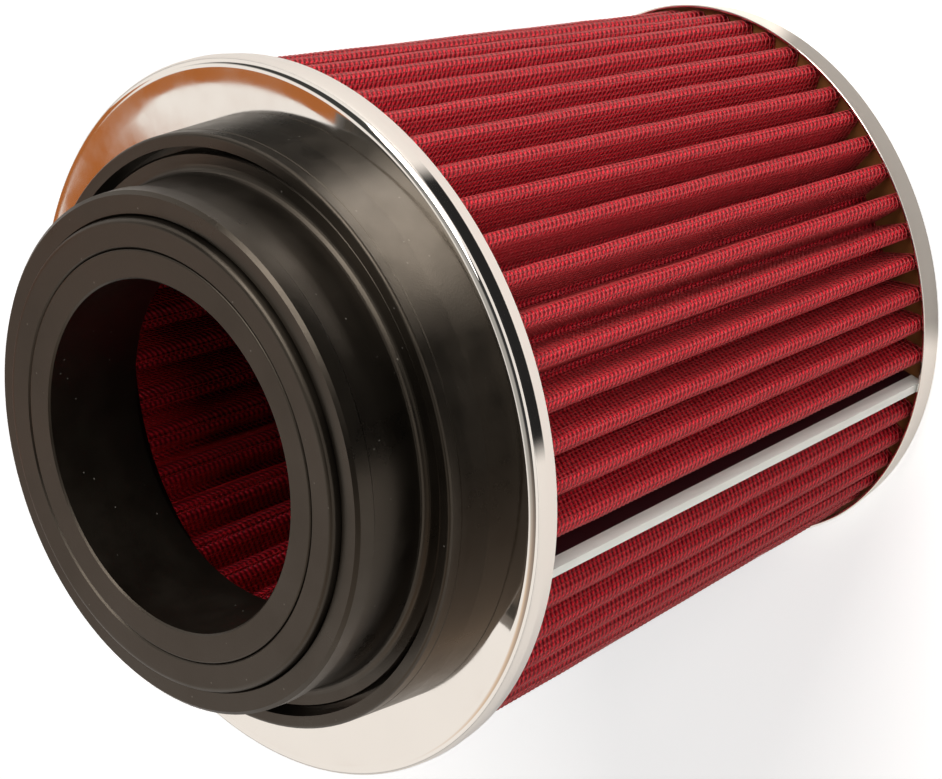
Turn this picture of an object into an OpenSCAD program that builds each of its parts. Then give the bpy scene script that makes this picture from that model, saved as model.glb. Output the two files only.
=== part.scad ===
// Cone air filter: a pleated cotton cone between a moulded rubber mouth and a pressed steel cap.
// It stands on its cap with the mouth up. Z is the axis of the cone, and z = 0 is the cap's flat back.

/* [Mouth and reducers] */
// Bore of the inner reducer, the smallest hose size
small_pipe_d = 76; // [60:1:92]
// Wall of each reducer, which steps the bore up to the next hose size
reducer_wall = 6.35; // [4.5:0.05:8]
// Length of both reducers along the hose
reducer_length = 24; // [16:1:32]
// How far the reducers stand out of the sleeve
reducer_proud = 2.2; // [0.5:0.1:5]
// Rounding of the outer reducer's front edge
reducer_rounding = 1.2; // [0.4:0.1:2]
// Radial clearance between one rubber ring and the next
ring_clearance = 0.15; // [0.05:0.05:0.3]

/* [Moulded base] */
// Wall of the sleeve at its waist, where a hose clamp sits
sleeve_wall = 4.4; // [3.5:0.1:6]
// Height of the sleeve above the collar
sleeve_height = 17.8; // [12:0.2:26]
// How far the bead at the sleeve's mouth stands out from the waist
sleeve_bead = 0.8; // [0.3:0.1:1.5]
// Length of that bead
sleeve_bead_length = 4.5; // [2.5:0.1:6]
// Hollow fillet between the waist and the root ring
root_fillet = 2; // [1:0.1:3]
// Width of the small ring at the sleeve's root
root_ring_width = 2.5; // [1.5:0.1:3.5]
// How far the root ring lies below the collar's front lip
root_ring_drop = 1.6; // [0.5:0.1:3]
// Width of the groove in the collar's front
groove_width = 1.6; // [1:0.1:2.5]
// Depth of that groove below the collar's front lip
groove_depth = 6; // [3.5:0.1:9]
// Width of the collar's front lip
collar_lip_width = 2.9; // [2:0.1:4]
// Height of the collar above the steel ring
collar_height = 10.8; // [8:0.2:14]
// Rounding of the collar's front edge
collar_rounding = 0.8; // [0.3:0.1:1.5]
// Depth and half width of the fine mould line round the collar
mould_line = 0.2; // [0.1:0.05:0.4]
// How far the mould line lies below the collar's front lip
mould_line_drop = 3.2; // [2:0.1:5]

/* [Front ring] */
// Width of the steel ring, from the collar to its outer edge
ring_width = 13.6; // [11:0.1:17]
// Thickness of the ring's sheet
ring_sheet = 0.7; // [0.5:0.05:1]
// Radius of the ring's rounded outer edge
edge_r = 1.9; // [1.4:0.1:2.4]
// Width of the flat part of the ring's face, from the collar outwards
face_flat = 6.6; // [4:0.1:8]
// Slope that the face has gained where it meets the rounded edge, in degrees
face_slope = 4; // [1:0.5:8]
// How far the outer band reaches down over the pleats, leaning inwards
band_lap = 2.5; // [1.6:0.1:3.2]
// How far the band's back edge leans in
band_tuck = 0.6; // [0.2:0.1:0.9]
// Width of the ring's inner edge that the collar sits on
collar_seat = 2; // [1:0.1:3]
// Depth of the adhesive between the ring and the pleats
front_bond = 3.5; // [2.8:0.1:4.2]

/* [Pleated medium] */
// Height of the pleats along the axis
media_length = 131.6; // [85:0.2:175]
// Least flat width of a valley floor at the rear end, which sets how many pleats fit round the cone
valley_width = 1.62; // [1.2:0.02:3.4]
// Rounding of the valley floors at the front end
front_valley_r = 1.7; // [1:0.1:2]
// Rounding of the valley floors at the rear end, where the pleats stand closer
rear_valley_r = 0.75; // [0.5:0.05:0.9]
// Depth of the pleats, from outer fold to inner fold
pleat_depth = 12; // [9:0.5:13]
// Distance of the outer folds from the ring's outer edge
front_inset = 1.9; // [1.8:0.1:4]
// Width across an outer fold
crest_width = 3.4; // [3:0.1:3.6]
// Thickness of each wire screen
screen_thickness = 0.25; // [0.15:0.05:0.3]
// Thickness of the cotton between the screens
cotton_thickness = 0.7; // [0.5:0.05:0.8]
// How much the pleats crowd together on one side, in degrees
crowding = 3.5; // [0:0.5:4]
// Uneven spacing of the folds, as a share of one pleat
unevenness = 0.05; // [0:0.01:0.06]

/* [Seam] */
// Direction of the seam round the axis, in degrees
seam_azimuth = 231; // [180:1:270]
// Depth of the clip that pinches the two ends together
clip_depth = 3.2; // [2.4:0.1:5]
// Thickness of the clip's sheet
clip_sheet = 0.4; // [0.3:0.05:0.6]
// Clearance between the clip and what it pinches
clip_clearance = 0.05; // [0.02:0.01:0.1]
// Thickness of the adhesive wiped along the seam
seam_bond = 0.35; // [0.2:0.05:0.5]

/* [Rear cap] */
// Diameter of the cap at its open edge
cap_d = 121.2; // [96:0.2:146]
// Height of the cap's band
cap_height = 6.6; // [5.6:0.1:9]
// How much the band's radius narrows towards the back
cap_taper = 1.25; // [0.5:0.05:2]
// Thickness of the cap's sheet
cap_sheet = 0.6; // [0.5:0.05:0.9]
// Radius of the cap's bottom corner
cap_corner = 1.4; // [1.1:0.1:2]
// Depth of the pressed panel in the cap's back
panel_depth = 1.6; // [0.8:0.1:2.2]
// Width of the flat rim that the cap stands on
stand_rim = 11; // [7:0.5:16]
// Width of the slope between that rim and the pressed panel
panel_slope = 3; // [2:0.5:5]
// Depth of the potting compound in the cap
rear_bond = 3.8; // [3:0.1:4.2]
// Clearance between the outer folds and the cap
cap_clearance = 0.12; // [0.05:0.01:0.3]

/* [Hidden] */
$fn = 96;

arc_steps = 7;
edge_break = 0.4;
slit = 0.03;
end_gap = 0.15;

// Radii of the mouth, each worked out from the piece inside it
small_r = small_pipe_d / 2;
middle_r = small_r + reducer_wall + ring_clearance;
large_r = middle_r + reducer_wall + ring_clearance;
waist_r = large_r + sleeve_wall;
root_inner_r = waist_r + root_fillet;
root_outer_r = root_inner_r + root_ring_width;
groove_outer_r = root_outer_r + groove_width;
collar_r = groove_outer_r + collar_lip_width;
hole_r = collar_r - collar_seat;
neck_r = hole_r - ring_clearance;

// Radii of the folds at both ends
ring_r = collar_r + ring_width;
cap_r = cap_d / 2;
rear_z = cap_sheet + rear_bond;
cap_inner_r = cap_r - cap_sheet - cap_taper * (cap_height - rear_z) / (cap_height - cap_corner);
front_tip_r = ring_r - front_inset;
rear_tip_r = cap_inner_r - cap_clearance;
front_fold_r = front_tip_r - pleat_depth;
rear_fold_r = rear_tip_r - pleat_depth;

// Heights, worked out from the cap upwards
front_z = rear_z + media_length;
bond_z = front_z + slit;
band_back_z = bond_z - band_lap;
seat_z = bond_z + front_bond + ring_sheet;
collar_z = seat_z + collar_height;
sleeve_z = collar_z + sleeve_height;
reducer_z = sleeve_z + reducer_proud;

// Thickness of the folded layers, measured from their middle
stack_half = cotton_thickness / 2 + screen_thickness;
cotton_half = cotton_thickness / 2;
crest_half = crest_width / 2 - stack_half;
pinch = 0.5;

// Section of one pleat: its crest, its leaning flanks and its rounded feet
crest_flat_share = 0.55;
crest_drop = 0.15;
shoulder_drop = 0.9;
flank_lean = 0.4;
foot_share = 1 - cos(45);
seam_foot_run = 1.1;
seam_foot_rise = 1;
crest_flat = crest_flat_share * crest_half;
flank_half = crest_half + flank_lean;
pleat_foot = 2 * (flank_half + rear_valley_r) + valley_width;
pleat_count = floor(2 * PI * (rear_fold_r + stack_half) / pleat_foot);

// Points of an arc about c, from angle a to angle b
function arc(c, r, a, b) = [for (i = [0:arc_steps]) c + r * on_circle(a + (b - a) * i / arc_steps)];
function on_circle(a) = [cos(a), sin(a)];
function reversed(list) = [for (i = [len(list) - 1:-1:0]) list[i]];

// Pleats: a section is a path of points, each [azimuth, tangential offset, radius, share of thickness]

uneven_front = rands(-0.5, 0.5, pleat_count + 1, 11);
uneven_drift = rands(-0.5, 0.5, pleat_count + 1, 23);
uneven_depth = rands(0, 0.5, pleat_count + 1, 37);

function even_azimuth(k) = seam_azimuth + k * 360 / pleat_count;
function crowd_shift(k) = crowding * (sin(even_azimuth(k) - 90) - sin(seam_azimuth - 90));
function is_seam(k) = k == 0 || k == pleat_count;
function wander(k, end) = uneven_front[k] + 0.6 * end * uneven_drift[k];
function fold_wander(k, end) = is_seam(k) ? 0 : wander(k, end) * unevenness * 360 / pleat_count;
function fold_azimuth(k, end) = even_azimuth(k) + crowd_shift(k) + fold_wander(k, end);
function tip_r(end) = (end == 0 ? front_tip_r : rear_tip_r) - stack_half;
function floor_r(end) = (end == 0 ? front_fold_r : rear_fold_r) + stack_half;

// Half of one fold, from the valley floor to the crest; side is -1 before the crest and 1 after it
function flank(k, end, side) = let (
    a = fold_azimuth(k, end),
    top = tip_r(end) - uneven_depth[k],
    low = floor_r(end),
    bend = end == 0 ? front_valley_r : rear_valley_r
) [
    [a, side * (flank_half + bend), low, 1],
    [a, side * (flank_half + foot_share * bend), low + foot_share * bend, 1],
    [a, side * flank_half, low + bend, 1],
    [a, side * crest_half, top - shoulder_drop, 1],
    [a, side * crest_flat, top - crest_drop, 1]
];

// One pinched end of the medium, standing up inside the seam clip
function seam_flank(end, k, side) = let (
    a = fold_azimuth(k, end),
    half = pinch * stack_half + slit / 2,
    top = tip_r(end) + stack_half - clip_sheet - clip_clearance,
    low = floor_r(end)
) [
    [a, side * (half + seam_foot_run), low, 1],
    [a, side * half, low + seam_foot_rise, pinch],
    [a, side * half, top, pinch]
];

function fold(k, end) = concat(flank(k, end, -1), reversed(flank(k, end, 1)));
function middle_path(end) = concat(
    reversed(seam_flank(end, 0, 1)),
    [for (k = [1:pleat_count - 1]) each fold(k, end)],
    seam_flank(end, pleat_count, -1)
);

function placed(p) = p[2] * on_circle(p[0]) + p[1] * [-sin(p[0]), cos(p[0])];
function unit(v) = v / norm(v);
function right_of(v) = [v[1], -v[0]];

// Direction in which a point of the path moves to give the path one unit of thickness
function mitre(pts, i) = let (
    last = len(pts) - 1,
    before = right_of(unit(pts[max(i, 1)] - pts[max(i, 1) - 1])),
    after = right_of(unit(pts[min(i, last - 1) + 1] - pts[min(i, last - 1)]))
) (before + after) / (1 + before * after);

// One edge of a layer at one end of the cone, off is its distance outwards from the middle of the stack
function layer_edge(end, off) = let (
    path = middle_path(end),
    pts = [for (p = path) placed(p)]
) [
    for (i = [0:len(pts) - 1])
    let (q = pts[i] + off * path[i][3] * mitre(pts, i))
    [q[0], q[1], end == 0 ? front_z : rear_z]
];

// A folded layer between two distances from the middle of the stack
module pleated_layer(outer, inner) {
    edges = [layer_edge(0, outer), layer_edge(0, inner), layer_edge(1, outer), layer_edge(1, inner)];
    n = len(edges[0]);
    faces = [
        for (i = [0:n - 2]) each [
            [i, i + 1, 2 * n + i + 1],
            [i, 2 * n + i + 1, 2 * n + i],
            [n + i + 1, n + i, 3 * n + i + 1],
            [n + i, 3 * n + i, 3 * n + i + 1],
            [i, n + i, n + i + 1],
            [i, n + i + 1, i + 1],
            [2 * n + i + 1, 3 * n + i + 1, 3 * n + i],
            [2 * n + i + 1, 3 * n + i, 2 * n + i]
        ],
        [n, 0, 2 * n],
        [n, 2 * n, 3 * n],
        [n - 1, 2 * n - 1, 4 * n - 1],
        [n - 1, 4 * n - 1, 3 * n - 1]
    ];
    polyhedron(points = [for (edge = edges) each edge], faces = faces, convexity = 20);
}

module outer_screen() {
    color([0.72, 0.1, 0.16])
        pleated_layer(stack_half, cotton_half);
}

module cotton_medium() {
    color([0.55, 0.06, 0.1])
        pleated_layer(cotton_half, -cotton_half);
}

module inner_screen() {
    color([0.8, 0.08, 0.1])
        pleated_layer(-cotton_half, -stack_half);
}

// Seam: its parts lie along the outer fold of the seam, x outwards and z up the slope of the cone

tip_line = [front_tip_r - rear_tip_r, media_length];
seam_tilt = atan2(tip_line[0], tip_line[1]);
pinched_half = pinch * stack_half * 2 + slit / 2;
bond_foot = stack_half * 2 + seam_foot_rise;

module along_seam() {
    intersection() {
        rotate([0, 0, seam_azimuth])
            translate([rear_tip_r, 0, rear_z])
                rotate([0, seam_tilt, 0])
                    translate([0, 0, -pleat_depth])
                        linear_extrude(height = norm(tip_line) + 2 * pleat_depth)
                            children();
        translate([0, 0, rear_z + end_gap])
            cylinder(r = ring_r, h = media_length - 2 * end_gap);
    }
}

module seam_clip() {
    hollow = pinched_half + clip_clearance;
    color([0.78, 0.79, 0.76])
        along_seam()
            difference() {
                translate([-clip_depth, -hollow - clip_sheet])
                    square([clip_depth, 2 * (hollow + clip_sheet)]);
                translate([-clip_depth - 1, -hollow])
                    square([clip_depth - clip_sheet + 1, 2 * hollow]);
            }
}

module seam_sealant() {
    top = clip_depth + clip_clearance;
    color([0.2, 0.04, 0.06])
        along_seam()
            translate([bond_foot - pleat_depth, pinched_half])
                square([pleat_depth - bond_foot - top, seam_bond]);
}

// Front ring: one pressed sheet, drawn as its visible face and its hidden face

edge_c_r = ring_r - edge_r;
flat_end_r = collar_r + face_flat;
rise_r = (edge_c_r - flat_end_r) / sin(face_slope) - edge_r;
rise_c = [flat_end_r, seat_z + rise_r];
edge_c = [edge_c_r, rise_c[1] - (rise_r + edge_r) * cos(face_slope)];
rise_end = face_slope - 90;
edge_start = face_slope + 90;

ring_face = concat(
    [[ring_r - band_tuck, band_back_z], [ring_r, bond_z]],
    arc(edge_c, edge_r, 0, edge_start),
    arc(rise_c, rise_r, rise_end, -90),
    [[hole_r, seat_z]]
);
ring_under = concat(
    [[hole_r, seat_z - ring_sheet]],
    arc(rise_c, rise_r + ring_sheet, -90, rise_end),
    arc(edge_c, edge_r - ring_sheet, edge_start, 0)
);

module front_ring() {
    band_inside = [[ring_r - ring_sheet, bond_z], [ring_r - band_tuck - ring_sheet, band_back_z]];
    color([0.86, 0.84, 0.8])
        rotate_extrude()
            polygon(concat(ring_face, ring_under, band_inside));
}

// Adhesive that fills the back of the ring and holds the front ends of the pleats
module front_potting() {
    color([0.25, 0.16, 0.1])
        rotate_extrude()
            polygon(concat([[hole_r, bond_z]], ring_under, [[ring_r - ring_sheet, bond_z]]));
}

// Moulded base: neck, collar, root ring and sleeve in one piece of rubber

module base_moulding() {
    root_z = collar_z - root_ring_drop;
    bead_r = waist_r + sleeve_bead;
    bead_z = sleeve_z - sleeve_bead_length;
    round_c = [collar_r - collar_rounding, collar_z - collar_rounding];
    waist_z = root_z + root_fillet;
    line_z = collar_z - mould_line_drop;
    color([0.1, 0.095, 0.09])
        rotate_extrude()
            polygon(concat(
                [
                    [large_r, bond_z],
                    [neck_r, bond_z],
                    [neck_r, seat_z],
                    [collar_r, seat_z],
                    [collar_r, line_z - mould_line],
                    [collar_r - mould_line, line_z],
                    [collar_r, line_z + mould_line]
                ],
                arc(round_c, collar_rounding, 0, 90),
                [
                    [groove_outer_r, collar_z],
                    [groove_outer_r, collar_z - groove_depth],
                    [root_outer_r, collar_z - groove_depth],
                    [root_outer_r, root_z - edge_break],
                    [root_outer_r - edge_break, root_z],
                    [root_inner_r, root_z]
                ],
                arc([root_inner_r, waist_z], root_fillet, -90, -180),
                [
                    [waist_r, bead_z - sleeve_bead],
                    [bead_r, bead_z],
                    [bead_r, sleeve_z - edge_break * 2],
                    [bead_r - edge_break * 2, sleeve_z],
                    [large_r + edge_break, sleeve_z],
                    [large_r, sleeve_z - edge_break]
                ]
            ));
}

// A rubber reducer: a plain ring with its front edges rounded or broken
module reducer(inner, outer, rounding) {
    back_z = reducer_z - reducer_length;
    rotate_extrude()
        polygon(concat(
            [[inner, back_z], [outer - edge_break, back_z], [outer, back_z + edge_break]],
            arc([outer - rounding, reducer_z - rounding], rounding, 0, 90),
            [[inner + edge_break, reducer_z], [inner, reducer_z - edge_break]]
        ));
}

module outer_reducer() {
    color([0.13, 0.12, 0.11])
        reducer(middle_r, large_r - ring_clearance, reducer_rounding);
}

module inner_reducer() {
    color([0.15, 0.14, 0.125])
        reducer(small_r, middle_r - ring_clearance, edge_break);
}

// Rear cap: a pressed steel tray with a shallow panel in its back

band_low_r = cap_r - cap_taper;
corner_c = [band_low_r - cap_corner, cap_corner];
rim_inner_r = band_low_r - stand_rim;
panel_r = rim_inner_r - panel_slope;
cap_inside = concat(
    [[0, panel_depth + cap_sheet], [panel_r, panel_depth + cap_sheet], [rim_inner_r, cap_sheet]],
    arc(corner_c, cap_corner - cap_sheet, -90, 0)
);
cap_outside = concat(
    [[0, panel_depth], [panel_r, panel_depth], [rim_inner_r, 0]],
    arc(corner_c, cap_corner, -90, 0),
    [[cap_r, cap_height]]
);

module rear_cap() {
    color([0.86, 0.84, 0.8])
        rotate_extrude()
            polygon(concat(cap_outside, [[cap_r - cap_sheet, cap_height]], reversed(cap_inside)));
}

// Potting compound in the cap, up to the rear ends of the pleats
module rear_potting() {
    color([0.5, 0.3, 0.14])
        rotate_extrude()
            polygon(concat(cap_inside, [[cap_inner_r, rear_z], [0, rear_z]]));
}

front_ring();
base_moulding();
outer_reducer();
inner_reducer();
outer_screen();
cotton_medium();
inner_screen();
seam_clip();
seam_sealant();
front_potting();
rear_potting();
rear_cap();
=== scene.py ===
import math
import random

import bpy
from mathutils import Matrix, Vector


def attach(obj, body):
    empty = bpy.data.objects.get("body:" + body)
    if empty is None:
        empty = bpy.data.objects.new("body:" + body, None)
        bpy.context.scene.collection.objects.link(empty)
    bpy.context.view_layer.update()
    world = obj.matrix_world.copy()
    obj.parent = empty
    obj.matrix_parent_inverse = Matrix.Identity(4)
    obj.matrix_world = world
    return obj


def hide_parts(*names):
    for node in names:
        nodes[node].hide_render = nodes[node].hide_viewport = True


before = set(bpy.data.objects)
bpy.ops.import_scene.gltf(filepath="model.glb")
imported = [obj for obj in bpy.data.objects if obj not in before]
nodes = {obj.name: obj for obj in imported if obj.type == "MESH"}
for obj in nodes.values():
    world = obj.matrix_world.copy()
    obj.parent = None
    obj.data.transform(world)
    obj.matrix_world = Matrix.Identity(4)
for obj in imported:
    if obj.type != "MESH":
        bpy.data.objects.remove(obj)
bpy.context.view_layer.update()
MM = 0.001


# A long lens looks down at the mouth from the front, rolled over so that the
# standing filter lies across the picture as it does in the photograph.
camera_right = Vector((-0.31812, -0.60782, -0.72757))
camera_up = Vector((0.94804, -0.19991, -0.24752))
camera_back = Vector((0.00500, -0.76850, 0.63983))

camera = bpy.data.objects.new("camera", bpy.data.cameras.new("camera"))
bpy.context.collection.objects.link(camera)
turn = Matrix((camera_right, camera_up, camera_back)).transposed()
camera.matrix_world = Matrix.Translation((0, -1.06227, 0.97200)) @ turn.to_4x4()
camera.data.sensor_width = 36
camera.data.lens = 245.47
camera.data.clip_end = 50
bpy.context.scene.camera = camera


# The front ring is one pressed sheet of steel, chrome plated and polished. Its
# face is all but flat, its outer edge is rounded, and its band leans in a little.
def new_material(name):
    """A material with nothing in it but its output."""
    material = bpy.data.materials.new(name)
    material.use_nodes = True
    material.node_tree.nodes.clear()
    return material, material.node_tree


def add(tree, kind, sockets=None, **settings):
    """A new node: settings are its options, and sockets maps inputs to values or to other nodes' outputs."""
    node = tree.nodes.new(kind)
    for key, value in settings.items():
        setattr(node, key, value)
    for key, value in (sockets or {}).items():
        if isinstance(value, bpy.types.NodeSocket):
            tree.links.new(value, node.inputs[key])
        else:
            node.inputs[key].default_value = value
    return node


def math_node(tree, operation, *values):
    """The output of a math node fed by up to three values or outputs."""
    return add(tree, "ShaderNodeMath", dict(enumerate(values)), operation=operation).outputs[0]


def mixed(tree, factor, start, end):
    """A colour between two colours or outputs."""
    sockets = {"Factor": factor, "A": start, "B": end}
    return add(tree, "ShaderNodeMix", sockets, data_type="RGBA").outputs["Result"]


def ranged(tree, value, low, high, to_low=0.0, to_high=1.0, **settings):
    """The value moved from one range to another and kept inside it."""
    sockets = {"Value": value, "From Min": low, "From Max": high, "To Min": to_low, "To Max": to_high}
    return add(tree, "ShaderNodeMapRange", sockets, **settings).outputs["Result"]


def noise(tree, place, scale, detail, roughness=0.5):
    """A noise of soft spots, finer for a larger scale."""
    sockets = {"Vector": place, "Scale": scale, "Detail": detail, "Roughness": roughness}
    return add(tree, "ShaderNodeTexNoise", sockets).outputs["Fac"]


def dress(obj, material):
    """Gives the object this one material."""
    obj.data.materials.clear()
    obj.data.materials.append(material)


def chrome(name, tint, waviness):
    """Polished plating: a metal with slow waves from the press and a few faint smears."""
    material, tree = new_material(name)
    place = add(tree, "ShaderNodeTexCoord").outputs["Object"]
    waves = noise(tree, place, 38.0, 1.0)
    smears = noise(tree, place, 60.0, 4.0, 0.6)
    gloss = ranged(tree, smears, 0.35, 0.75, 0.035, 0.11)
    shade = mixed(tree, smears, tint, [c * 0.97 for c in tint[:3]] + [1])
    bump = add(tree, "ShaderNodeBump", {"Height": waves, "Strength": waviness, "Distance": 0.0006})
    steel = add(tree, "ShaderNodeBsdfPrincipled", {
        "Base Color": shade, "Metallic": 1.0,
        "Roughness": gloss, "Normal": bump.outputs["Normal"]})
    add(tree, "ShaderNodeOutputMaterial", {"Surface": steel.outputs[0]})
    return material


def arc(centre, radius, start, end, steps=12):
    """Points of an arc in the plane of radius and height, angles in degrees."""
    turns = [math.radians(start + (end - start) * i / steps) for i in range(steps + 1)]
    return [(centre[0] + radius * math.cos(t), centre[1] + radius * math.sin(t)) for t in turns]


def turned(name, outline, node, material, steps=360):
    """A ring or tray turned about the filter's axis from its closed outline, which stands for a node."""
    mesh = bpy.data.meshes.new(name)
    points, faces, starts = [], [], []
    for r, z in outline:
        starts.append(len(points))
        around = 1 if r == 0 else steps
        for i in range(around):
            angle = i * math.tau / steps
            points.append((r * math.cos(angle) * MM, r * math.sin(angle) * MM, z * MM))
    for k, (r, _) in enumerate(outline):
        after = (k + 1) % len(outline)
        if outline[after][0] == r == 0:
            continue
        for i in range(steps):
            j = (i + 1) % steps
            here = [starts[k] + i, starts[k] + j] if r else [starts[k]]
            there = [starts[after] + j, starts[after] + i] if outline[after][0] else [starts[after]]
            faces.append(here + there)
    mesh.from_pydata(points, [], faces)
    mesh.shade_smooth()
    mesh.set_sharp_from_angle(angle=math.radians(35))
    piece = bpy.data.objects.new(name, mesh)
    bpy.context.collection.objects.link(piece)
    dress(piece, material)
    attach(piece, "root")
    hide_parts(node)
    return piece


# In millimetres. The outline runs up the band, round the edge and in over the
# face to the hole, then back along the inside of the sheet.
ring_r, ring_wall = 77.97, 0.7
face_z, face_hole, face_flat, face_slope = 140.23, 62.4, 71.0, 4
edge_r, bend_r = 1.9, 1.5
band_end_z, bend_z, inner_bend_z = 133.53, 136.6, 136.1
band_inner_r, end_inner_r = 77.3, 76.8
rise_r = (ring_r - edge_r - face_flat) / math.sin(math.radians(face_slope)) - edge_r
rise_c = (face_flat, face_z + rise_r)
edge_c = (ring_r - edge_r, rise_c[1] - (rise_r + edge_r) * math.cos(math.radians(face_slope)))
ring_outline = [(ring_r - 0.6, band_end_z), *arc((ring_r - bend_r, bend_z), bend_r, -13, 0, 4)]
ring_outline += arc(edge_c, edge_r, 0, 90 + face_slope, 20)
ring_outline += [*arc(rise_c, rise_r, face_slope - 90, -90, 10), (face_hole, face_z)]
ring_outline += [(face_hole, face_z - ring_wall), *arc(rise_c, rise_r + ring_wall, -90, face_slope - 90, 4)]
ring_outline += arc(edge_c, edge_r - ring_wall, 90 + face_slope, 0, 8)
ring_outline += [(band_inner_r, inner_bend_z), (end_inner_r, band_end_z)]
plating = (0.90, 0.88, 0.85, 1)
turned("pressed_ring", ring_outline, "front_ring", chrome("chromed ring", plating, 0.10))


# Collar, root ring and sleeve are one moulding of black rubber. Its skin is
# satin, a little browner and duller on the faces that a cloth has rubbed.
def rubber(name, colour, rubbed, gloss):
    """Moulded rubber: fine grain, cloudy gloss and a few specks of dust."""
    material, tree = new_material(name)
    place = add(tree, "ShaderNodeTexCoord").outputs["Object"]
    clouds = noise(tree, place, 42.0, 5.0, 0.62)
    grain = noise(tree, place, 2600.0, 2.0)
    dust = add(tree, "ShaderNodeTexVoronoi", {"Vector": place, "Scale": 240.0}, distance="EUCLIDEAN")
    speck = ranged(tree, dust.outputs["Distance"], 0.035, 0.06, 1.0, 0.0)
    skin = mixed(tree, clouds, colour, rubbed)
    dusting = math_node(tree, "MULTIPLY", speck, 0.30)
    dusty = mixed(tree, dusting, skin, (0.30, 0.28, 0.25, 1))
    dull = ranged(tree, clouds, 0.3, 0.7, gloss - 0.02, gloss + 0.20)
    bump = add(tree, "ShaderNodeBump", {"Height": grain, "Strength": 0.25, "Distance": 0.00008})
    body = add(tree, "ShaderNodeBsdfPrincipled", {
        "Base Color": dusty, "Roughness": dull,
        "Specular IOR Level": 0.72, "Specular Tint": (1.0, 0.86, 0.70, 1), "Normal": bump.outputs["Normal"]})
    add(tree, "ShaderNodeOutputMaterial", {"Surface": body.outputs[0]})
    return material


dress(nodes["base_moulding"], rubber(
    "moulded rubber", (0.0014, 0.0012, 0.0010, 1), (0.0034, 0.0027, 0.0019, 1), 0.25))


# Two loose rings of the same rubber sit in the sleeve. They are cut and rubbed
# on their front faces, so they look duller and browner than the moulding.
dress(nodes["outer_reducer"], rubber(
    "reducer rubber", (0.0015, 0.0012, 0.0010, 1), (0.0042, 0.0033, 0.0023, 1), 0.30))
dress(nodes["inner_reducer"], rubber(
    "inner reducer rubber", (0.0016, 0.0013, 0.0010, 1), (0.0046, 0.0036, 0.0025, 1), 0.32))


# The filter medium is oiled cotton gauze, folded into pleats between two wire
# screens and wrapped round the cone. Its two ends stand up together at the seam.
# Sizes are in millimetres, and the radii go to the middle of the folded sheet.
pleats = 49
seam_azimuth = 231
crowding = 3.5
looseness, rear_looseness = 0.05, 0.6
rear_z, front_z = 4.4, 136.0
front_crest, rear_crest = 75.5, 58.751
front_floor, rear_floor = 64.7, 47.951
crest_half, front_foot, rear_foot = 1.1, 2.75, 1.9
crest_round, foot_round = 1.0, 2.2
free_half, seam_foot, pinched = 0.32, 1.4, 0.5
cotton_thickness, slackness = 0.7, 0.5

random.seed(11)
wander = [[random.uniform(-0.5, 0.5) for _ in range(pleats + 1)] for _ in range(2)]
sink = [random.uniform(0, 0.4) for _ in range(pleats + 1)]


def fold_azimuth(k, end):
    """Direction of pleat k at the front (end 0) or the rear (end 1), in radians."""
    even = seam_azimuth + k * 360 / pleats
    shift = crowding * (math.sin(math.radians(even - 90)) - math.sin(math.radians(seam_azimuth - 90)))
    loose = 0 if k in (0, pleats) else (
        wander[0][k] + rear_looseness * end * wander[1][k]) * looseness * 360 / pleats
    return math.radians(even + shift + loose)


def corner(k, end, aside, radius):
    """A corner of the fold path, aside of its pleat's middle, in metres."""
    a = fold_azimuth(k, end)
    x = radius * math.cos(a) - aside * math.sin(a)
    y = radius * math.sin(a) + aside * math.cos(a)
    return Vector((x, y, rear_z if end else front_z)) * MM


def fold_path(end):
    """The corners of the folded sheet's middle, once round the cone.

    A corner is its pleat, its place aside of the pleat's middle, its radius, the
    share of the layer's offset that it keeps and how round it is."""
    crest, low, foot = ((front_crest, front_floor, front_foot), (rear_crest, rear_floor, rear_foot))[end]
    free = crest + 0.1
    path = [
        (0, free_half, free, pinched, 0), (0, free_half, low + 1, pinched, 0.5), (0, seam_foot, low, 1, 1)]
    for k in range(1, pleats):
        top = crest - sink[k]
        path += [(k, -foot, low, 1, foot_round), (k, -crest_half, top, 1, crest_round)]
        path += [(k, crest_half, top, 1, crest_round), (k, foot, low, 1, foot_round)]
    path += [(pleats, -aside, radius, share, soft) for _, aside, radius, share, soft in reversed(path[:3])]
    points = [corner(k, end, aside, radius) for k, aside, radius, _, _ in path]
    return points, [share for *_, share, _ in path], [soft * MM for *_, soft in path]


def line_object(name, points, shares, rounds):
    """A mesh of one open line of edges, with two numbers kept on each point."""
    mesh = bpy.data.meshes.new(name)
    mesh.from_pydata(points, [(i, i + 1) for i in range(len(points) - 1)], [])
    mesh.attributes.new("share", "FLOAT", "POINT").data.foreach_set("value", shares)
    mesh.attributes.new("round", "FLOAT", "POINT").data.foreach_set("value", rounds)
    obj = bpy.data.objects.new(name, mesh)
    bpy.context.collection.objects.link(obj)
    obj.hide_render = True
    return obj


front_path = line_object("front folds", *fold_path(0))
rear_path = line_object("rear folds", *fold_path(1))


def new_geometry_tree(name, inputs):
    """A geometry tree with these named inputs, its input and output nodes, and one geometry output."""
    tree = bpy.data.node_groups.new(name, "GeometryNodeTree")
    for label, kind in inputs.items():
        tree.interface.new_socket(label, in_out="INPUT", socket_type="NodeSocket" + kind)
    tree.interface.new_socket("Geometry", in_out="OUTPUT", socket_type="NodeSocketGeometry")
    return tree, tree.nodes.new("NodeGroupInput").outputs, tree.nodes.new("NodeGroupOutput")


def vector_node(tree, operation, *values):
    """The output of a vector math node."""
    return add(tree, "ShaderNodeVectorMath", dict(enumerate(values)), operation=operation).outputs[0]


def scaled(tree, vector, factor):
    """The vector times a number."""
    return add(tree, "ShaderNodeVectorMath", {0: vector, "Scale": factor}, operation="SCALE").outputs[0]


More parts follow.
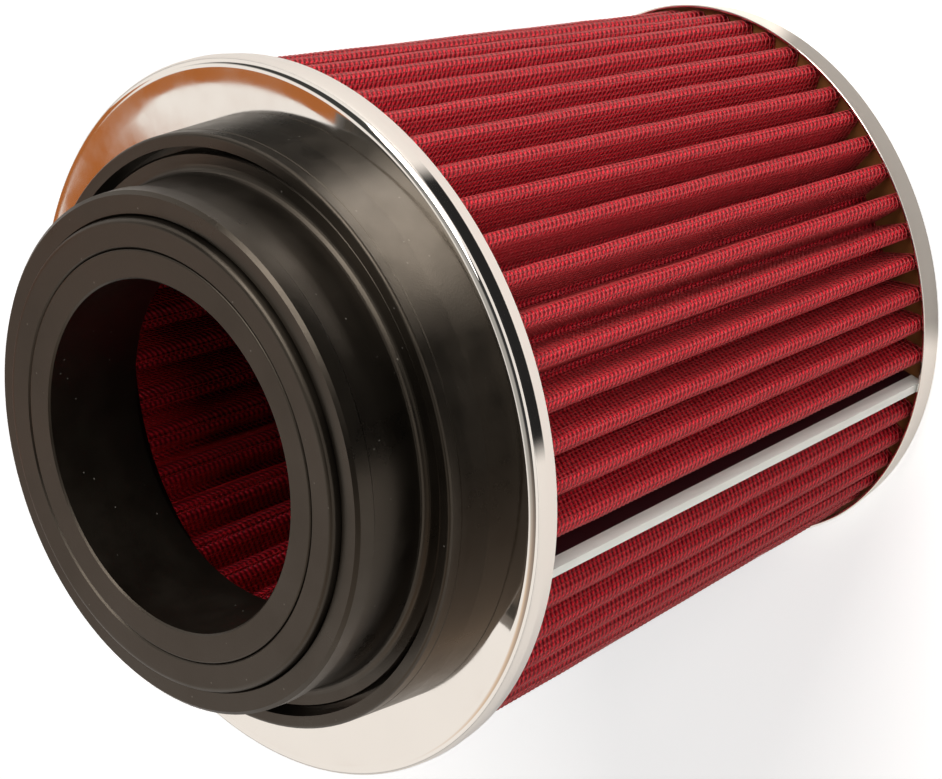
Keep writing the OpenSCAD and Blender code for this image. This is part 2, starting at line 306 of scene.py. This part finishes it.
def kept(tree, geometry, name, value, kind="FLOAT"):
    """The geometry with a value stored on its points under that name."""
    return add(tree, "GeometryNodeStoreNamedAttribute", {
        "Geometry": geometry, "Name": name, "Value": value}, data_type=kind, domain="POINT").outputs[0]


def attribute(tree, name, kind="FLOAT"):
    """A value stored on the points."""
    return add(tree, "GeometryNodeInputNamedAttribute", {"Name": name}, data_type=kind).outputs[0]


def rounded_path(tree, given, end):
    """The fold path at one end, its corners rounded and moved outwards by the layer's offset."""
    line = add(tree, "GeometryNodeObjectInfo", {
        "Object": given[end]}, transform_space="ORIGINAL").outputs["Geometry"]
    curve = add(tree, "GeometryNodeMeshToCurve", {"Mesh": line}).outputs[0]
    radius = math_node(tree, "MULTIPLY", given["Rounding"], attribute(tree, "round"))
    soft = add(tree, "GeometryNodeFilletCurve", {
        "Curve": curve, "Radius": radius, "Count": given["Corner points"], "Limit Radius": True},
        mode="POLY").outputs[0]
    along = add(tree, "GeometryNodeInputTangent").outputs[0]
    outwards = vector_node(tree, "NORMALIZE", vector_node(tree, "CROSS_PRODUCT", along, (0, 0, 1)))
    reach = math_node(tree, "MULTIPLY", given["Offset"], attribute(tree, "share"))
    moved = add(tree, "GeometryNodeSetPosition", {
        "Geometry": soft, "Offset": scaled(tree, outwards, reach)}).outputs[0]
    return kept(tree, moved, "place", add(tree, "GeometryNodeInputIndex").outputs[0])


def fold_surface(tree, given, rows):
    """A grid on the surface ruled between the two paths, and where each of its points lies on the cloth.

    Columns follow the path at the given spacing, or at its own points where that is nothing.
    Rows run from the rear to the front, over the part of the length from From to To."""
    front, rear = rounded_path(tree, given, "Front"), rounded_path(tree, given, "Rear")
    spaced = add(tree, "GeometryNodeResampleCurve", {
        "Curve": front, "Length": given["Spacing"]}, mode="LENGTH").outputs[0]
    even = add(tree, "FunctionNodeCompare", {
        0: given["Spacing"], 1: 0.0}, data_type="FLOAT", operation="GREATER_THAN").outputs[0]
    chosen = add(tree, "GeometryNodeSwitch", {
        "Switch": even, "False": front, "True": spaced}, input_type="GEOMETRY").outputs[0]
    size = add(tree, "GeometryNodeAttributeDomainSize", {"Geometry": chosen}, component="CURVE")
    columns = size.outputs["Point Count"]
    grid = add(tree, "GeometryNodeMeshGrid", {"Vertices X": columns, "Vertices Y": rows}).outputs["Mesh"]

    index = add(tree, "GeometryNodeInputIndex").outputs[0]
    column = math_node(tree, "FLOOR", math_node(tree, "DIVIDE", math_node(tree, "ADD", index, 0.5), rows))
    row = math_node(tree, "SUBTRACT", index, math_node(tree, "MULTIPLY", column, rows))
    step = math_node(tree, "DIVIDE", row, math_node(tree, "SUBTRACT", rows, 1.0))
    share = add(tree, "ShaderNodeMapRange", {
        "Value": step, "To Min": given["From"], "To Max": given["To"]}).outputs["Result"]

    def at(curve, value, place, kind):
        return add(tree, "GeometryNodeSampleIndex", {
            "Geometry": curve, "Value": value, "Index": place}, data_type=kind, clamp=True).outputs[0]

    position = add(tree, "GeometryNodeInputPosition").outputs[0]
    place = at(chosen, attribute(tree, "place"), column, "FLOAT")
    before = math_node(tree, "FLOOR", place)
    between = math_node(tree, "FRACT", place)

    def on(curve):
        ends = [at(curve, position, math_node(tree, "ADD", before, i), "FLOAT_VECTOR") for i in (0.0, 1.0)]
        return add(
            tree, "ShaderNodeMix", {0: between, 4: ends[0], 5: ends[1]}, data_type="VECTOR").outputs[1]

    front_point, rear_point = on(front), on(rear)
    here = add(
        tree, "ShaderNodeMix", {0: share, 4: rear_point, 5: front_point}, data_type="VECTOR").outputs[1]
    slack = add(tree, "ShaderNodeTexNoise", {"Vector": here, "Scale": 55.0, "Detail": 1.0}).outputs["Color"]
    drift = scaled(tree, vector_node(tree, "SUBTRACT", slack, (0.5, 0.5, 0.5)), given["Slackness"])
    drift = vector_node(tree, "MULTIPLY", drift, (1, 1, 0))
    laid = add(tree, "GeometryNodeSetPosition", {
        "Geometry": grid, "Position": vector_node(tree, "ADD", here, drift)}).outputs[0]
    run = at(chosen, add(tree, "GeometryNodeSplineParameter").outputs["Length"], column, "FLOAT")
    rise = add(
        tree, "ShaderNodeVectorMath", {0: here, 1: rear_point}, operation="DISTANCE").outputs["Value"]
    cloth = add(tree, "ShaderNodeCombineXYZ", {"X": run, "Y": rise}).outputs[0]
    return kept(tree, laid, "cloth", cloth, "FLOAT_VECTOR")


FOLD_INPUTS = {
    "Front": "Object", "Rear": "Object", "Rounding": "Float", "Corner points": "Int", "Offset": "Float",
    "Spacing": "Float", "Rows": "Int", "From": "Float", "To": "Float", "Slackness": "Float",
    "Finish": "Material"}


def finished(tree, geometry, given, result):
    """Ends the tree: real geometry, smooth, with the piece's material."""
    real = add(tree, "GeometryNodeRealizeInstances", {"Geometry": geometry}).outputs[0]
    smooth = add(tree, "GeometryNodeSetShadeSmooth", {"Geometry": real}).outputs[0]
    dressed = add(
        tree, "GeometryNodeSetMaterial", {"Geometry": smooth, "Material": given["Finish"]}).outputs[0]
    tree.links.new(dressed, result.inputs[0])


def folded_sheet_tree():
    """A closed sheet of the given thickness, folded along the path."""
    tree, given, result = new_geometry_tree("folded sheet", {**FOLD_INPUTS, "Thickness": "Float"})
    face = fold_surface(tree, given, given["Rows"])
    inwards = scaled(tree, add(tree, "GeometryNodeInputNormal").outputs[0], math_node(
        tree, "MULTIPLY", given["Thickness"], -1.0))
    face = kept(tree, face, "inside", vector_node(
        tree, "ADD", add(tree, "GeometryNodeInputPosition").outputs[0], inwards), "FLOAT_VECTOR")
    walls = add(tree, "GeometryNodeExtrudeMesh", {
        "Mesh": face, "Offset Scale": 0.0, "Individual": False}, mode="FACES")
    inner = add(tree, "GeometryNodeSetPosition", {
        "Geometry": walls.outputs["Mesh"], "Selection": walls.outputs["Top"],
        "Position": attribute(tree, "inside", "FLOAT_VECTOR")}).outputs[0]
    flipped = add(tree, "GeometryNodeFlipFaces", {"Mesh": inner}).outputs[0]
    both = tree.nodes.new("GeometryNodeJoinGeometry")
    tree.links.new(flipped, both.inputs[0])
    tree.links.new(face, both.inputs[0])
    closed = add(
        tree, "GeometryNodeMergeByDistance", {"Geometry": both.outputs[0], "Distance": 1e-7}).outputs[0]
    finished(tree, closed, given, result)
    return tree


def made(name, tree, values):
    """An object whose plain mesh is what the tree makes from these inputs."""
    maker = bpy.data.objects.new(name, bpy.data.meshes.new(name))
    bpy.context.collection.objects.link(maker)
    modifier = maker.modifiers.new("tree", "NODES")
    modifier.node_group = tree
    sockets = {s.name: s.identifier for s in tree.interface.items_tree if s.in_out == "INPUT"}
    for label, value in values.items():
        modifier[sockets[label]] = value
    bpy.context.view_layer.update()
    mesh = bpy.data.meshes.new_from_object(maker.evaluated_get(bpy.context.evaluated_depsgraph_get()))
    maker.modifiers.clear()
    maker.data = mesh
    mesh.name = name
    return maker


def oiled_gauze():
    """Red oiled cotton that swells into a small pillow in every opening of the wires, in offset rows; the
    gaps between pillows have painted shade.
    """
    material, tree = new_material("oiled cotton")
    cloth = add(tree, "ShaderNodeAttribute", attribute_name="cloth").outputs["Vector"]
    place = add(tree, "ShaderNodeTexCoord").outputs["Object"]
    sway = noise(tree, place, 420.0, 1.0)
    run, rise, _ = add(tree, "ShaderNodeSeparateXYZ", {0: cloth}).outputs
    pillow_run, pillow_rise = 0.00105, 0.00132
    column = math_node(tree, "DIVIDE", run, pillow_run)
    column = math_node(tree, "ADD", column, math_node(tree, "MULTIPLY", sway, 0.35))
    across = math_node(tree, "SUBTRACT", math_node(tree, "FRACT", column), 0.5)
    half_rows = math_node(tree, "MULTIPLY", math_node(tree, "FLOOR", column), 0.5)
    row = math_node(tree, "ADD", math_node(tree, "DIVIDE", rise, pillow_rise), half_rows)
    row = math_node(tree, "ADD", row, math_node(tree, "MULTIPLY", across, 0.55))
    along = math_node(tree, "SUBTRACT", math_node(tree, "FRACT", row), 0.5)
    wide = math_node(tree, "POWER", math_node(tree, "MULTIPLY", across, 1.3), 2.0)
    long = math_node(tree, "POWER", math_node(tree, "MULTIPLY", along, 2.2), 2.0)
    reach = math_node(tree, "SQRT", math_node(tree, "ADD", wide, long))
    pillow = ranged(tree, reach, 0.25, 1.0, 1.0, 0.0, interpolation_type="SMOOTHSTEP")
    threads = noise(tree, place, 3200.0, 2.0)
    patches = noise(tree, place, 90.0, 4.0)
    tone = mixed(tree, patches, (0.66, 0.010, 0.026, 1), (0.90, 0.026, 0.050, 1))
    # The near-black colour between the pillows is painted shade, where the wires and the creases shade the
    # cotton.
    pillows_with_painted_shade = mixed(tree, pillow, (0.13, 0.001, 0.005, 1), tone)
    height = math_node(tree, "ADD", pillow, math_node(tree, "MULTIPLY", threads, 0.15))
    bump = add(tree, "ShaderNodeBump", {"Height": height, "Strength": 1.0, "Distance": 0.00022})
    body = add(tree, "ShaderNodeBsdfPrincipled", {
        "Base Color": pillows_with_painted_shade, "Roughness": 0.42, "Specular IOR Level": 0.4, "Normal": bump.outputs["Normal"]})
    add(tree, "ShaderNodeOutputMaterial", {"Surface": body.outputs[0]})
    return material


cotton = made("cotton_sheet", folded_sheet_tree(), {
    "Front": front_path, "Rear": rear_path, "Rounding": 1.0, "Corner points": 4,
    "Offset": cotton_thickness / 2 * MM, "Spacing": 0.0, "Rows": 20, "From": 0.0, "To": 1.0,
    "Slackness": slackness * MM, "Finish": oiled_gauze(), "Thickness": cotton_thickness * MM})
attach(cotton, "root")
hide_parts("cotton_medium")


# The screens are woven from coated wire, one on each side of the cotton and
# folded with it. The lengthwise wires run from ring to cap, the crosswise ones
# follow every fold.
def wire_screen_tree():
    """Wires of one direction: lengthwise ones at the spacing, or crosswise ones on the rows."""
    tree, given, result = new_geometry_tree(
        "wire screen", {**FOLD_INPUTS, "Wire radius": "Float", "Crosswise": "Bool"})
    surface = fold_surface(tree, given, given["Rows"])
    ends = add(tree, "GeometryNodeInputMeshEdgeVertices")
    gap = math_node(tree, "ABSOLUTE", math_node(tree, "SUBTRACT", ends.outputs[0], ends.outputs[1]))
    across = add(
        tree, "FunctionNodeCompare", {0: gap, 1: 1.5}, data_type="FLOAT", operation="GREATER_THAN").outputs[0]
    wanted = add(
        tree, "FunctionNodeBooleanMath", {0: across, 1: given["Crosswise"]}, operation="XNOR").outputs[0]
    lines = add(tree, "GeometryNodeMeshToCurve", {"Mesh": surface, "Selection": wanted}).outputs[0]
    section = add(tree, "GeometryNodeCurvePrimitiveCircle", {
        "Resolution": 3, "Radius": given["Wire radius"]}).outputs[0]
    wires = add(tree, "GeometryNodeCurveToMesh", {
        "Curve": lines, "Profile Curve": section, "Fill Caps": True}).outputs[0]
    finished(tree, wires, given, result)
    return tree


def coated_wire(name, colour, worn, roughness):
    """Wire with a glossy red coating, a little uneven in colour and gloss."""
    material, tree = new_material(name)
    place = add(tree, "ShaderNodeTexCoord").outputs["Object"]
    uneven = noise(tree, place, 700.0, 3.0)
    tone = mixed(tree, uneven, colour, worn)
    gloss = add(tree, "ShaderNodeMapRange", {
        "Value": uneven, "To Min": roughness, "To Max": roughness + 0.2}).outputs["Result"]
    body = add(tree, "ShaderNodeBsdfPrincipled", {
        "Base Color": tone, "Roughness": gloss, "Coat Weight": 0.5, "Coat Roughness": 0.2})
    add(tree, "ShaderNodeOutputMaterial", {"Surface": body.outputs[0]})
    return material


wire_pitch, wire_radius, cross_rows = 1.32, 0.075, 94
lengthwise_offset, crosswise_offset = 0.43, 0.51
screen_tree = wire_screen_tree()
outer_coat = coated_wire("coated screen", (0.36, 0.018, 0.024, 1), (0.62, 0.10, 0.10, 1), 0.3)
# The inner screen's wire is painted far brighter than the outer one: painted light for the dim inside of the
# bore.
inner_coat_painted_lit = coated_wire("inner screen wire painted lit", (0.80, 0.008, 0.020, 1), (0.95, 0.05, 0.06, 1), 0.16)


def screen_wires(name, node, coat, slot, offset, corner_points, **more):
    """One group of wires of a screen, which stands for the screen's node."""
    wires = made(name, screen_tree, {
        "Front": front_path, "Rear": rear_path, "Rounding": 0.9, "Corner points": corner_points,
        "Offset": offset * MM, "Slackness": slackness * MM, "Finish": coat,
        "Wire radius": wire_radius * MM, **more})
    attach(wires, "root")
    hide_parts(node)


for side, node, coat, slot, outwards, points in (
        ("outer", "outer_screen", outer_coat, "coated_screen", 1, 2),
        ("inner", "inner_screen", inner_coat_painted_lit, "inner_screen_wire", -1, 1)):
    screen_wires(f"{side}_screen_lengthwise", node, coat, slot, outwards * lengthwise_offset, points, **{
        "Spacing": wire_pitch * MM, "Rows": 14, "From": 0.0, "To": 1.0, "Crosswise": False})
    for half, low, high in (("rear", 0.005, 0.4975), ("front", 0.5075, 0.995)):
        name = f"{side}_screen_crosswise_{half}"
        screen_wires(name, node, coat, slot, outwards * crosswise_offset, points, **{
            "Spacing": 0.0, "Rows": cross_rows // 2, "From": low, "To": high, "Crosswise": True})


# The seam clip is a strip of thin sheet metal folded into a channel and crimped
# over the two ends of the medium. A wipe of dark adhesive runs beside it.
def brushed_strip():
    """Plain pale metal with fine lines along the strip."""
    material, tree = new_material("clip metal")
    place = add(tree, "ShaderNodeTexCoord").outputs["Object"]
    drawn = add(tree, "ShaderNodeMapping", {"Vector": place, "Scale": (900.0, 900.0, 40.0)}).outputs[0]
    lines = noise(tree, drawn, 1.0, 3.0)
    tone = mixed(tree, lines, (0.68, 0.70, 0.66, 1), (0.84, 0.86, 0.82, 1))
    bump = add(tree, "ShaderNodeBump", {"Height": lines, "Strength": 0.3, "Distance": 0.00005})
    body = add(tree, "ShaderNodeBsdfPrincipled", {
        "Base Color": tone, "Metallic": 0.15, "Roughness": 0.38, "Normal": bump.outputs["Normal"]})
    add(tree, "ShaderNodeOutputMaterial", {"Surface": body.outputs[0]})
    return material


def cured(name, pale, dark, roughness):
    """Cured compound: a slightly lumpy skin with cloudy colour."""
    material, tree = new_material(name)
    place = add(tree, "ShaderNodeTexCoord").outputs["Object"]
    clouds = noise(tree, place, 160.0, 4.0)
    tone = mixed(tree, clouds, dark, pale)
    bump = add(tree, "ShaderNodeBump", {"Height": clouds, "Strength": 0.4, "Distance": 0.0004})
    body = add(tree, "ShaderNodeBsdfPrincipled", {
        "Base Color": tone, "Roughness": roughness, "Normal": bump.outputs["Normal"]})
    add(tree, "ShaderNodeOutputMaterial", {"Surface": body.outputs[0]})
    return material


dress(nodes["seam_clip"], brushed_strip())
dress(
    nodes["seam_sealant"], cured("seam adhesive", (0.030, 0.006, 0.009, 1), (0.014, 0.003, 0.005, 1), 0.5))


# Both ends of the pleats are sealed with cured compound: brown adhesive under
# the steel ring, and amber potting that was poured into the cap.
dress(nodes["front_potting"], cured("front adhesive", (0.16, 0.085, 0.045, 1), (0.07, 0.035, 0.02, 1), 0.5))
dress(
    nodes["rear_potting"], cured("potting compound", (0.30, 0.12, 0.035, 1), (0.12, 0.045, 0.015, 1), 0.4))


# The rear cap is a pressed steel tray, chrome plated like the front ring. The
# filter stands on the flat rim of its back.
# In millimetres. The outline runs out over the back and up the band, then
# back along the inside of the sheet.
cap_wall, cap_corner, band_top, band_bead = 0.6, 1.4, 6.4, 0.25
panel = [(0, 1.6), (43.3, 1.6), (44.3, 1.45), (46.9, 0.15), (47.9, 0)]
corner_c = (57.95, cap_corner)
cap_outline = [*panel, (58, 0), *arc(corner_c, cap_corner, -88, -6, 12)]
cap_outline += [(60.6, band_top), *arc((60.35, band_top), band_bead, 0, 90, 4), (60.0, 6.6), (58.75, 1.3)]
cap_outline += arc(corner_c, cap_corner - cap_wall, -8, -88, 5)
cap_outline += [(r, z + cap_wall) for r, z in reversed(panel)]
turned("pressed_cap", cap_outline, "rear_cap", chrome("chromed cap", plating, 0.10))


# The studio is a pale floor that keeps the filter's shadow, three soft boxes
# and a white surrounding, whose dark and warm parts only shiny faces see.
unlit_direction = (0.191, -0.982, 0)


def unlit_side(tree, direction):
    """How far a direction lies towards the studio's unlit side, low in front, from 0 to 1."""
    x, y, _ = add(tree, "ShaderNodeSeparateXYZ", {0: direction}).outputs
    level = add(tree, "ShaderNodeCombineXYZ", {"X": x, "Y": y}).outputs[0]
    across = vector_node(tree, "NORMALIZE", level)
    towards = add(tree, "ShaderNodeVectorMath", {
        0: across, 1: unlit_direction}, operation="DOT_PRODUCT").outputs["Value"]
    return ranged(tree, towards, 0.72, 0.81, interpolation_type="SMOOTHSTEP")


def floor_material():
    """Pale floor, white to the camera and pale in the chrome, that still takes shadows; in the chrome it also
    shows painted shade and a warmer tint.
    """
    material, tree = new_material("pale floor")
    place = add(tree, "ShaderNodeTexCoord").outputs["Object"]
    faint = noise(tree, place, 3.0, 2.0)
    tone = mixed(tree, faint, (0.86, 0.86, 0.86, 1), (0.88, 0.88, 0.88, 1))
    paper = add(tree, "ShaderNodeBsdfDiffuse", {"Color": tone}).outputs[0]
    path = add(tree, "ShaderNodeLightPath").outputs
    far = add(tree, "ShaderNodeVectorMath", {0: place}, operation="LENGTH").outputs["Value"]
    # In reflections only, the floor on the unlit side in front is painted nearly black: painted shade.
    past = ranged(tree, far, 0.15, 0.19)
    # On that side it is also painted darker round the filter's foot: a painted shadow.
    foot = ranged(tree, far, 0.068, 0.085, 0.6, 0.0)
    unlit = math_node(tree, "MULTIPLY", unlit_side(tree, place), math_node(tree, "ADD", past, foot))
    dark = math_node(tree, "MULTIPLY", unlit, path["Is Glossy Ray"])
    # In reflections only, the floor is painted a warmer cream: a painted reflection colour.
    warm = mixed(tree, path["Is Glossy Ray"], tone, (0.80, 0.745, 0.69, 1))
    paper = mixed(tree, dark, warm, (0.02, 0.02, 0.02, 1))
    matt = add(tree, "ShaderNodeBsdfDiffuse", {"Color": paper}).outputs[0]
    seen = math_node(tree, "MAXIMUM", path["Is Camera Ray"], path["Is Transmission Ray"])
    mirrored = math_node(tree, "SUBTRACT", path["Is Glossy Ray"], dark)
    mirrored = math_node(tree, "MULTIPLY", mirrored, 0.2)
    level = math_node(tree, "ADD", math_node(tree, "MULTIPLY", seen, 0.52), mirrored)
    glow = add(tree, "ShaderNodeEmission", {"Color": (1, 1, 1, 1), "Strength": level}).outputs[0]
    both = add(tree, "ShaderNodeAddShader", {0: matt, 1: glow}).outputs[0]
    add(tree, "ShaderNodeOutputMaterial", {"Surface": both})
    return material


floor_mesh = bpy.data.meshes.new("floor")
half = 6
floor_mesh.from_pydata(
    [(-half, -half, 0), (half, -half, 0), (half, half, 0), (-half, half, 0)], [], [(0, 1, 2, 3)])
floor = bpy.data.objects.new("floor", floor_mesh)
bpy.context.collection.objects.link(floor)
dress(floor, floor_material())


# A brown board stands behind the filter, out of the picture: the chrome shows a slice of it beside the top of
# the collar.
# It glows with its own brown light instead of being lit, and only reflections see it: a painted reflection.
board_mesh = bpy.data.meshes.new("brown board")
board_mesh.from_pydata(
    [(0, 1.5, 0), (0.8, 1.5, 0), (0.8, 1.5, 1.0), (0.25, 1.5, 1.2), (0, 1.5, 1.44)], [], [(0, 1, 2, 3, 4)])
board = bpy.data.objects.new("brown board", board_mesh)
bpy.context.collection.objects.link(board)
board_glow_material, tree = new_material("brown board")
place = add(tree, "ShaderNodeTexCoord").outputs["Object"]
grain = noise(tree, place, 4.0, 4.0)
tone = mixed(tree, grain, (0.36, 0.11, 0.028, 1), (0.48, 0.16, 0.045, 1))
glow = add(tree, "ShaderNodeEmission", {"Color": tone, "Strength": 1.0}).outputs[0]
add(tree, "ShaderNodeOutputMaterial", {"Surface": glow})
dress(board, board_glow_material)
board.visible_camera = board.visible_diffuse = board.visible_shadow = board.visible_transmission = False


def soft_lamp(name, place, target, width, watts, tint=(1, 1, 1)):
    """A square soft box that faces its target."""
    lamp = bpy.data.objects.new(name, bpy.data.lights.new(name, "AREA"))
    lamp.data.size = width
    lamp.data.energy = watts
    lamp.data.color = tint
    lamp.location = place
    lamp.rotation_euler = (Vector(target) - Vector(place)).to_track_quat("-Z", "Y").to_euler()
    bpy.context.collection.objects.link(lamp)
    return lamp


middle = (0, 0, 0.085)
soft_lamp("key soft box", (1.23, -0.89, 1.2), middle, 1.35, 32, (1.0, 0.96, 0.92))
soft_lamp("fill soft box", (-1.1, -1.0, 0.9), middle, 0.9, 3, (1.0, 0.97, 0.94)).visible_glossy = False
soft_lamp("front soft box", (0.05, -1.5, 0.75), middle, 0.6, 8, (1.0, 0.97, 0.94)).visible_glossy = False

world = bpy.data.worlds.new("white surrounding")
bpy.context.scene.world = world
world.use_nodes = True
tree = world.node_tree
tree.nodes.clear()
path = add(tree, "ShaderNodeLightPath").outputs
direction = add(tree, "ShaderNodeTexCoord").outputs["Generated"]
x, y, z = add(tree, "ShaderNodeSeparateXYZ", {0: direction}).outputs
# What shiny faces see all round, by degrees from the back towards -X.
round_from_back = math_node(tree, "ARCTAN2", math_node(tree, "MULTIPLY", x, -1.0), y)
ramp = add(tree, "ShaderNodeValToRGB", {
    0: math_node(tree, "ADD", math_node(tree, "DIVIDE", round_from_back, math.tau), 0.5)})
cream, dark = (0.94, 0.88, 0.82), (0.03, 0.03, 0.03)
wall_colours = (
    (-180, dark), (-40, (0.05, 0.05, 0.045)), (-28, cream), (25, cream), (54, (0.74, 0.55, 0.40)),
    (88, (0.42, 0.32, 0.25)), (122, (0.22, 0.18, 0.15)), (150, dark))
for spot, (turn, colour) in enumerate(wall_colours):
    stop = ramp.color_ramp.elements[spot] if spot < 2 else ramp.color_ramp.elements.new(turn / 360 + 0.5)
    stop.position = turn / 360 + 0.5
    stop.color = (*colour, 1)
low = ranged(tree, z, 0.46, 0.52, 1.0, 0.0)
walls = mixed(tree, low, ramp.outputs["Color"], (*cream, 1))
ceiling = ranged(tree, z, 0.85, 0.97)
walls = mixed(tree, ceiling, walls, (0.4, 0.38, 0.35, 1))
lit = mixed(tree, path["Is Glossy Ray"], (0.22, 0.22, 0.22, 1), walls)
seen = math_node(tree, "MAXIMUM", path["Is Camera Ray"], path["Is Transmission Ray"])
shown = mixed(tree, seen, lit, (1, 1, 1, 1))
sky = add(tree, "ShaderNodeBackground", {"Color": shown, "Strength": 1.0}).outputs[0]
add(tree, "ShaderNodeOutputWorld", {"Surface": sky})

bpy.context.scene.view_settings.view_transform = "Standard"

# The two path lines were only there for the trees to follow.
for path_line in (front_path, rear_path):
    bpy.data.objects.remove(path_line)
